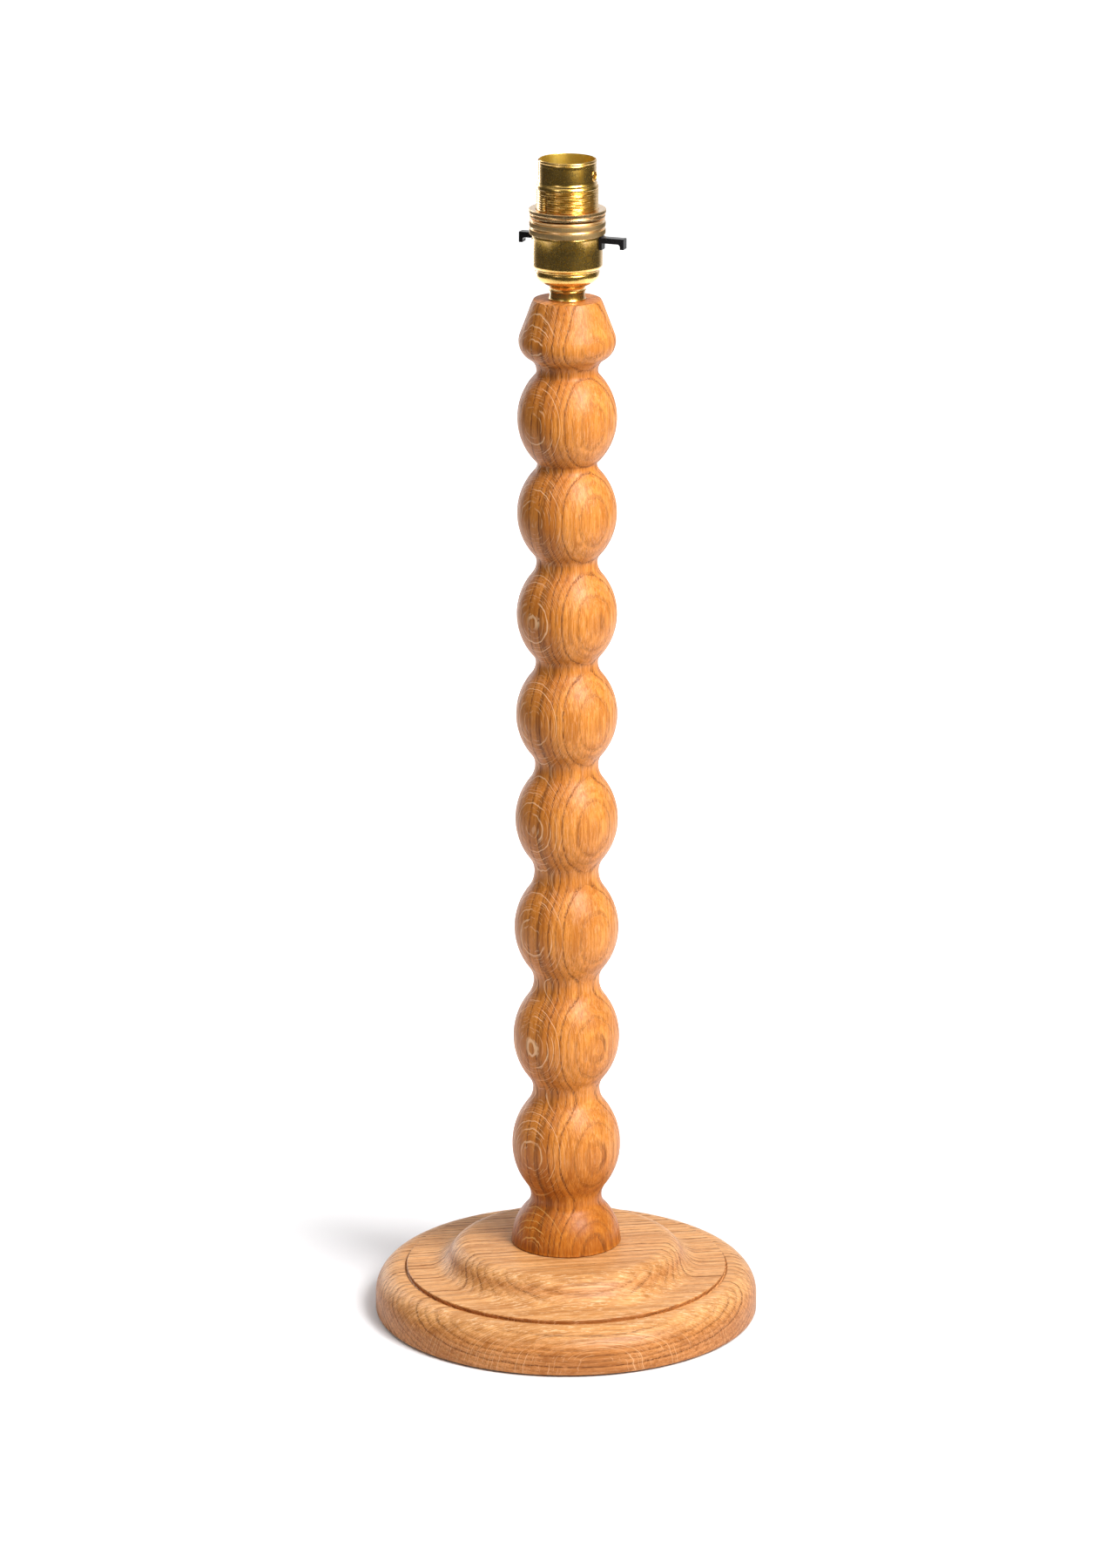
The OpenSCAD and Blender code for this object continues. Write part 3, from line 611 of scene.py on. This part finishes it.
def build_barrel():
    """Pressed brass barrel: flange, threaded skirt with creases, shoulder, rolled rim, bayonet slots."""
    outer = [(FLANGE_R, FLANGE_LOW), (FLANGE_R, SKIRT_LOW), (SKIRT_R, SKIRT_LOW)]
    rows = 120
    outer += [(SKIRT_R, SKIRT_LOW + (SKIRT_TOP - SKIRT_LOW) * i / rows) for i in range(1, rows + 1)]
    outer += arc((SKIRT_R - 2, SKIRT_TOP), 2, 6, 48, 9)
    outer += list(reversed(arc((BARREL_R + 1.6, BARREL_LOW), 1.6, 180, 222, 9)))
    outer += [(BARREL_R, RIM - 3.1), (BARREL_R - 0.05, RIM - 2.9), (BARREL_R, RIM - 2.7),
              (BARREL_R, RIM - 1.6), (BARREL_R - 0.06, RIM - 1.45)]
    outer += arc((BARREL_R - 0.6, RIM - 0.75), 0.74, -50, 60, 10)
    lip = arc((BARREL_R - 0.42, RIM - 0.2), 0.2, 70, 180, 6)
    inner = [(BARREL_R - SHEET_T, RIM - 0.6), (BARREL_R - SHEET_T, BARREL_LOW - 0.3)]
    inner += [(SKIRT_R - SHEET_T - 0.45, SKIRT_TOP + 0.9), (SKIRT_R - SHEET_T - 0.1, SKIRT_TOP + 0.2)]
    inner_rows = rows // 2
    inner += [(SKIRT_R - SHEET_T - 0.02, SKIRT_TOP - (SKIRT_TOP - SKIRT_LOW) * i / inner_rows)
              for i in range(1, inner_rows)]
    inner += [(SKIRT_R - SHEET_T, FLANGE_LOW)]
    outline = [(r, h + WOOD_TOP) for r, h in outer + lip + inner]
    creases = [HOLDER_TURN + CREASE_TURN + half for half in (0.0, math.pi)]
    verts, faces = lathe(outline, 288, thread_shape(creases))
    piece = new_piece("bayonet_barrel", verts, faces, BRASS_SHELL, "root", ["barrel"])
    lock = RIM - LOCK_DROP
    for half in (0.0, math.pi):
        for points, sides in bayonet_cutters(lock):
            cut(piece, turned(points, HOLDER_TURN + half, WOOD_TOP), sides)
    piece.data.materials.append(BRASS_INSIDE)
    inside_r = (SKIRT_R - SHEET_T + 0.1) * MM
    for face in piece.data.polygons:
        outward = face.normal.x * face.center.x + face.normal.y * face.center.y
        if outward < -0.005 and math.hypot(face.center.x, face.center.y) < inside_r:
            face.material_index = 1
    return piece


def bayonet_cutters(lock):
    """Lock hole, level track and entry slot of one bayonet, with the lock hole on +X."""
    rod, sides = round_cutter(LOCK_HOLE_R, 5)
    hole = [(y + BARREL_R - 3, -x, z + lock) for x, y, z in rod], sides
    low, high = lock - TRACK_DROP, lock - TRACK_DROP + TRACK_W
    angles = [SLOT_TURN * i / 12 for i in range(13)]
    fan = [((BARREL_R + 2) * math.cos(a), (BARREL_R + 2) * math.sin(a)) for a in angles]
    fan += [((BARREL_R - 2) * math.cos(a), (BARREL_R - 2) * math.sin(a)) for a in reversed(angles)]
    track = prism(fan, low, high)
    half = ENTRY_W / 2
    slab = [(BARREL_R - 3, -half), (BARREL_R + 2, -half), (BARREL_R + 2, half), (BARREL_R - 3, half)]
    entry = prism(slab, low - ENTRY_SINK, RIM + 2)
    return [hole, track, (turned(entry[0], SLOT_TURN), entry[1])]


def build_lock_collars():
    """The raised edge pressed round each lock hole."""
    verts, faces = [], []
    around, across = 40, 8
    lock = RIM - LOCK_DROP + WOOD_TOP
    for half in (0.0, math.pi):
        start = len(verts)
        for i in range(around):
            a = TAU * i / around
            for j in range(across):
                b = TAU * j / across
                rr = LOCK_HOLE_R + 0.3 + 0.34 * math.cos(b)
                y, z = rr * math.cos(a), rr * math.sin(a)
                turn = y / BARREL_R + HOLDER_TURN + half
                out = BARREL_R + 0.02 + 0.26 * math.sin(b)
                verts.append((out * math.cos(turn), out * math.sin(turn), lock + z))
        for i in range(around):
            for j in range(across):
                k, m = (i + 1) % around, (j + 1) % across
                faces.append((start + i * across + j, start + k * across + j,
                              start + k * across + m, start + i * across + m))
    mesh = new_mesh("lock_hole_collars", verts, faces)
    piece = bpy.data.objects.new("lock_hole_collars", mesh)
    bpy.context.scene.collection.objects.link(piece)
    mesh.materials.append(BRASS_SHELL)
    smooth(piece, 60)
    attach(piece, "root")


def knurl_shape(bands, ridges, depth):
    """Straight ridges on the bands of a ring, given as (low, high) above the wood."""
    def shape(angle, r, z):
        h = z - WOOD_TOP
        if any(low - 0.01 <= h <= high + 0.01 for low, high in bands) and r > KNURL_FROM_R:
            r -= depth * (0.5 - 0.5 * math.cos(angle * ridges))
        return r
    return shape


def build_locking_ring():
    """Knurled ring with two grooves and a rolled bead on top."""
    r = 17.25
    outline = [(15.55, 30.1), (r - 0.45, 30.1), (r - 0.12, 30.22), (r, 30.5), (r, 32.3), (r - 0.12, 32.6),
               (r - 0.7, 32.85), (r - 0.85, 33.15), (r - 0.7, 33.45), (r - 0.12, 33.75), (r, 34.0),
               (r, 35.6), (r - 0.12, 35.9), (r - 0.6, 36.1), (r - 0.75, 36.3)]
    outline += arc((r - 0.65, 36.85), 0.42, -70, 90, 8)
    outline += [(14.35, 37.27), (14.3, 37.2), (14.3, 34.9), (15.55, 34.9)]
    outline = [(a, h + WOOD_TOP) for a, h in outline]
    ridges = 190
    verts, faces = lathe(outline, ridges * 4, knurl_shape([(30.4, 32.4), (33.9, 35.7)], ridges, 0.15))
    return new_piece("knurled_locking_ring", verts, faces, BRASS_RINGS, "root",
                     ["locking_ring"])


def build_shade_ring():
    """Thin ring with a groove between its two milled bands."""
    r, bore = 17.5, 14.15
    outline = [(bore, 38.1), (r - 0.75, 38.1), (r - 0.42, 38.2), (r - 0.3, 38.4), (r - 0.3, 38.95),
               (r - 0.45, 39.15), (r - 1.0, 39.25), (r - 1.1, 39.5), (r - 1.0, 39.75), (r - 0.15, 39.85),
               (r, 40.1), (r, 41.0), (r - 0.1, 41.3), (r - 0.4, 41.5), (bore + 0.35, 41.5), (bore, 41.15)]
    outline = [(a, h + WOOD_TOP) for a, h in outline]
    ridges = 150
    verts, faces = lathe(outline, ridges * 4, knurl_shape([(38.4, 38.95), (40.1, 41.0)], ridges, 0.14))
    return new_piece("milled_shade_ring", verts, faces, BRASS_DISCS, "shade_ring",
                     ["shade_ring"])


def build_cup():
    """Pressed cup: bowl, band, groove and wall, slotted through for the switch bar."""
    cup, wall, thread = 16.1, 0.8, 15.5
    band, bowl = 14.6, 4.6
    outline = [(6.35, 7.8)]
    outline += arc((band - bowl, 12.3), bowl, -78, 0, 18)
    outline += [(band, 13.0), (band - 0.12, 13.2), (14.25, 13.35), (14.2, 13.6), (14.3, 13.9)]
    outline += arc((cup - 2, 16.4), 2, -70, 0, 12)
    outline += [(cup, 22), (cup, 28.6), (cup + 0.12, 28.9), (cup + 0.12, 29.5), (cup - 0.05, 29.9),
                (cup - 0.3, 30.0), (thread, 30.0), (thread, 33.9), (14.7, 33.9), (14.7, 29.4),
                (cup - wall, 28.8)]
    outline += arc((cup - 2, 16.4), 2 - wall, 0, -70, 10)
    outline += [(band - wall, 14.4)]
    outline += arc((band - bowl, 12.3), bowl - wall, 0, -78, 14)
    outline += [(6.35, 8.6)]
    outline = [(a, h + WOOD_TOP) for a, h in outline]
    verts, faces = lathe(outline, 240)
    piece = new_piece("pressed_cup", verts, faces, BRASS_SHELL, "root", ["holder_cup"])
    half, reach, slot_low, slot_high = 2.3, 20, 23.8, 36
    slab = [(-reach, -half), (reach, -half), (reach, half), (-reach, half)]
    slot = prism(slab, slot_low, slot_high)
    cut(piece, turned(slot[0], HOLDER_TURN, WOOD_TOP), slot[1])
    return piece


def build_bush():
    """Turned collar between the wood and the cup, with a spigot inside the cup."""
    seat, floor = 7.8, 8.6
    outline = [(5.05, 0.0), (8.1, 0.0)]
    outline += arc((8.15, 0.4), 0.38, -80, 80, 8)
    outline += [(8.12, 0.95), (8.08, 2.4), (8.1, 4.0)]
    outline += arc((8.2, 4.45), 0.34, -70, 90, 8)
    outline += arc((10.85, 4.9), 2.6, 178, 92, 12)
    outline += [(10.9, 7.55), (10.9, seat), (6.3, seat), (6.3, floor), (7.1, floor), (7.1, floor + 0.7),
                (6.3, floor + 1.6), (5.05, floor + 1.6)]
    outline = [(a, h + WOOD_TOP) for a, h in outline]
    verts, faces = lathe(outline, 160)
    return new_piece("turned_bush", verts, faces, BRASS_SHELL, "root", ["entry_bush"])


def build_switch_bar():
    """One moulding: tall middle, thin necks, hooked ends, every edge softened."""
    half, shift, head = 50.3 / 2, 2.5, 1.8
    low, top, neck_low, neck_high, head_low, body = 23.9, 30.0, 27.0, 29.6, 24.7, 14.8
    fillet = 1.2
    right = [(body, low), (body, neck_low)]
    right += [(x, z) for x, z in arc((half - head - fillet, neck_low - fillet), fillet, 90, 0, 8)]
    right += [(half - head, head_low), (half, head_low), (half, neck_high), (body, neck_high), (body, top)]
    left = [(-x, z) for x, z in reversed(right)]
    side = right + left
    width = 4.4
    verts = [(x + shift, -width / 2, z) for x, z in side] + [(x + shift, width / 2, z) for x, z in side]
    n = len(side)
    faces = [tuple(range(n)), tuple(range(2 * n - 1, n - 1, -1))]
    faces += [(j, n + j, n + (j + 1) % n, (j + 1) % n) for j in range(n)]
    verts = turned(verts, HOLDER_TURN, WOOD_TOP)
    piece = new_piece("push_bar", verts, faces, BAR_BLACK, "switch", ["switch_bar"])
    soften(piece, 0.22, 3, 30)
    return piece


def soften(piece, width, segments, degrees):
    """Rounds a piece's edges, in millimetres."""
    step = piece.modifiers.new("soften", "BEVEL")
    step.width = width * MM
    step.segments = segments
    step.limit_method = "ANGLE"
    step.angle_limit = math.radians(degrees)
    step.harden_normals = False


def build_plunger(node, body, name):
    """Contact pin with a groove and a domed tip."""
    low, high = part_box(node)
    middle = (low + high) / 2 / MM
    r, base, tip = (high.x - low.x) / 2 / MM, low.z / MM, high.z / MM
    outline = [(0, base), (r - 0.3, base), (r, base + 0.3), (r, tip - 3.2), (r - 0.12, tip - 3.1),
               (r - 0.12, tip - 2.9), (r, tip - 2.8)]
    outline += arc((r - 1.0, tip - 1.0), 1.0, 0, 84, 10) + [(0, tip)]
    verts, faces = solid_lathe(outline, 64)
    verts = [(x + middle.x, y + middle.y, z) for x, y, z in verts]
    return new_piece(name, verts, faces, BRASS_INNER, body, [node])


def build_spring(node, name):
    """A round-wire coil with closed ends, on a mesh of its own; the real spring shortens as its plunger is
    pressed.
    """
    low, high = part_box(node)
    middle = (low + high) / 2 / MM
    wire = 0.3
    radius = (high.x - low.x) / 2 / MM - wire
    base, top = low.z / MM + wire, high.z / MM - wire
    turns, per_turn, sides = 6.0, 32, 10
    count = int(turns * per_turn)
    verts, faces = [], []
    for i in range(count + 1):
        t = i / count
        # the end turns lie flat, the middle ones rise evenly
        rise = min(max((t * turns - 0.7) / (turns - 1.4), 0.0), 1.0)
        a = TAU * turns * t
        centre = Vector((radius * math.cos(a), radius * math.sin(a), base + (top - base) * rise))
        out = Vector((math.cos(a), math.sin(a), 0))
        for j in range(sides):
            b = TAU * j / sides
            p = centre + wire * (out * math.cos(b) + Vector((0, 0, math.sin(b))))
            verts.append((p.x + middle.x, p.y + middle.y, p.z))
    for i in range(count):
        for j in range(sides):
            k = (j + 1) % sides
            faces.append((i * sides + j, i * sides + k, (i + 1) * sides + k, (i + 1) * sides + j))
    faces.append(tuple(range(sides)))
    faces.append(tuple(count * sides + j for j in range(sides - 1, -1, -1)))
    piece = new_piece(name, verts, faces, WIRE, "root", [node])
    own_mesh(piece)
    return piece


def build_nipple():
    """Threaded brass tube between the wood and the bush."""
    low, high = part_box("wood_nipple")
    base, top, r, bore = low.z / MM, high.z / MM, 5.0, 3.6
    pitch, depth = 1.0, 0.45
    rows = 150
    outer = [(r - 0.35, base)] + [(r, base + 0.3 + (top - base - 0.6) * i / rows) for i in range(rows + 1)]
    outer += [(r - 0.35, top)]

    def shape(angle, rr, z):
        turn = (z / pitch - angle / TAU) % 1.0
        return rr - depth * (0.5 - 0.5 * math.cos(TAU * turn)) if rr > r - 0.01 else rr

    verts, faces = lathe(outer + [(bore, top), (bore, base)], 96, shape)
    return new_piece("threaded_nipple", verts, faces, BRASS_INNER, "root", ["wood_nipple"])


KEPT = {
    "interior_block": PHENOLIC, "plunger_guide": CREAM, "cord_grip": CREAM, "cord_grip_screws": WIRE,
    "terminal_live": BRASS_INNER, "terminal_neutral": BRASS_INNER, "terminal_screws": BRASS_INNER,
    "switch_contact": BRASS_INNER, "switch_studs": BRASS_INNER, "earth_tab": BRASS_INNER,
    "earth_screw": BRASS_INNER,
}


def dress_cad_nodes():
    """CAD nodes whose shape is right keep it: they get a material and softened edges."""
    for name, material in KEPT.items():
        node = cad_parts[name]
        node.data.materials.clear()
        node.data.materials.append(material)
        weld = node.modifiers.new("weld", "WELD")
        weld.merge_threshold = 1e-6
        soften(node, 0.12, 2, 35)


build_column()
build_base()
build_felt()
build_barrel()
build_lock_collars()
build_locking_ring()
build_shade_ring()
build_cup()
build_bush()
build_nipple()
build_switch_bar()
build_plunger("plunger_live", "live_plunger", "live_plunger_pin")
build_plunger("plunger_neutral", "neutral_plunger", "neutral_plunger_pin")
build_spring("spring_live", "live_spring_coil")
build_spring("spring_neutral", "neutral_spring_coil")
dress_cad_nodes()


# ---------------------------------------------------------------- stage, light and camera
def build_floor():
    """White floor that glows behind the lamp, so that its far part is as white as the backdrop."""
    mesh = bpy.data.meshes.new("floor")
    half, front, back, level = 1.0, -0.5, 6.0, -0.05 * MM
    corners = [(-half, front, level), (half, front, level), (half, back, level), (-half, back, level)]
    mesh.from_pydata(corners, [], [(0, 1, 2, 3)])
    floor = bpy.data.objects.new("floor", mesh)
    bpy.context.scene.collection.objects.link(floor)
    g = Graph("floor_white")
    place = g.place()
    aside = g.math("ABSOLUTE", g.dot(place, (1, 0, 0)))
    depth = g.math("MULTIPLY_ADD", aside, 0.5, g.dot(place, (0, 1, 0)))
    glow = g.math("MULTIPLY_ADD", g.steps(depth, 0.08, 0.36), 0.8, 0.02)
    g.set(Base_Color=(0.86, 0.85, 0.86, 1.0), Roughness=0.9, Specular_IOR_Level=0.1)
    g.set(Emission_Color=(1.0, 1.0, 1.0, 1.0), Emission_Strength=glow)
    mesh.materials.append(g.material)


def soft_box(name, azimuth, elevation, distance, width, height, power, aim=(0, 0, 0.3), diffuse=1.0):
    """A soft box at a bearing from the lamp, facing it. diffuse is its share of the matt light."""
    light = bpy.data.lights.new(name, "AREA")
    light.shape = "RECTANGLE"
    light.size, light.size_y = width, height
    light.energy = power
    light.diffuse_factor = diffuse
    box = bpy.data.objects.new(name, light)
    box.location = Vector(aim) + bearing(azimuth, elevation) * distance
    box.rotation_euler = (Vector(aim) - box.location).to_track_quat("-Z", "Y").to_euler()
    bpy.context.scene.collection.objects.link(box)


def world_range(tree, value, low, high, start, end):
    """A smooth change of brightness from start to end, as a direction goes from low to high."""
    node = tree.nodes.new("ShaderNodeMapRange")
    node.interpolation_type = "SMOOTHSTEP"
    tree.links.new(value, node.inputs["Value"])
    for name, number in (("From Min", low), ("From Max", high), ("To Min", start), ("To Max", end)):
        node.inputs[name].default_value = number
    return node.outputs["Result"]


def build_world():
    """White behind the lamp, a darker studio in front of it; the camera sees plain white."""
    world = bpy.data.worlds.new("studio")
    bpy.context.scene.world = world
    world.use_nodes = True
    tree = world.node_tree
    tree.nodes.clear()
    new, link = tree.nodes.new, tree.links.new
    way = new("ShaderNodeTexCoord").outputs["Generated"]
    split = new("ShaderNodeSeparateXYZ")
    link(way, split.inputs[0])
    most = new("ShaderNodeMath")
    most.operation = "MAXIMUM"
    link(world_range(tree, split.outputs["Y"], 0.5, 0.85, 0.06, 1.0), most.inputs[0])
    link(world_range(tree, split.outputs["Z"], 0.55, 0.9, 0.0, 0.8), most.inputs[1])
    surround = new("ShaderNodeBackground")
    link(most.outputs[0], surround.inputs["Strength"])
    plain = new("ShaderNodeBackground")
    plain.inputs["Color"].default_value = (1.0, 1.0, 1.0, 1.0)
    plain.inputs["Strength"].default_value = 1.0
    pick = new("ShaderNodeMixShader")
    link(new("ShaderNodeLightPath").outputs["Is Camera Ray"], pick.inputs["Fac"])
    link(surround.outputs[0], pick.inputs[1])
    link(plain.outputs[0], pick.inputs[2])
    output = new("ShaderNodeOutputWorld")
    link(pick.outputs[0], output.inputs["Surface"])


def build_camera():
    """Long lens, 16.6 degrees down, the lamp a little right of the middle."""
    camera = bpy.data.cameras.new("camera")
    camera.lens = 145.0
    camera.sensor_fit = "VERTICAL"
    camera.sensor_height = 36.0
    camera.clip_start, camera.clip_end = 0.1, 50.0
    view = bpy.data.objects.new("camera", camera)
    view.location = (-3.07 * MM, -2785.4 * MM, 1087.6 * MM)
    pitch, roll = math.radians(90 - 16.6), math.radians(0.055)
    view.rotation_euler = (Matrix.Rotation(pitch, 4, "X") @ Matrix.Rotation(roll, 4, "Z")).to_euler()
    bpy.context.scene.collection.objects.link(view)
    bpy.context.scene.camera = view


build_floor()
build_world()
build_camera()
soft_box("key", 40, 35, 1.45, 0.9, 1.0, 27, aim=(0, 0, 0.47))
soft_box("glint", 46, 40, 1.5, 0.42, 0.8, 17, aim=(0, 0, 0.5), diffuse=0.0)
soft_box("strip", -148, 10, 1.6, 0.3, 1.6, 6)
soft_box("fill", -40, 34, 2.2, 0.6, 0.8, 4.5)

scene = bpy.context.scene
scene.view_settings.view_transform = "Standard"
scene.view_settings.look = "None"
scene.view_settings.exposure = 0.0
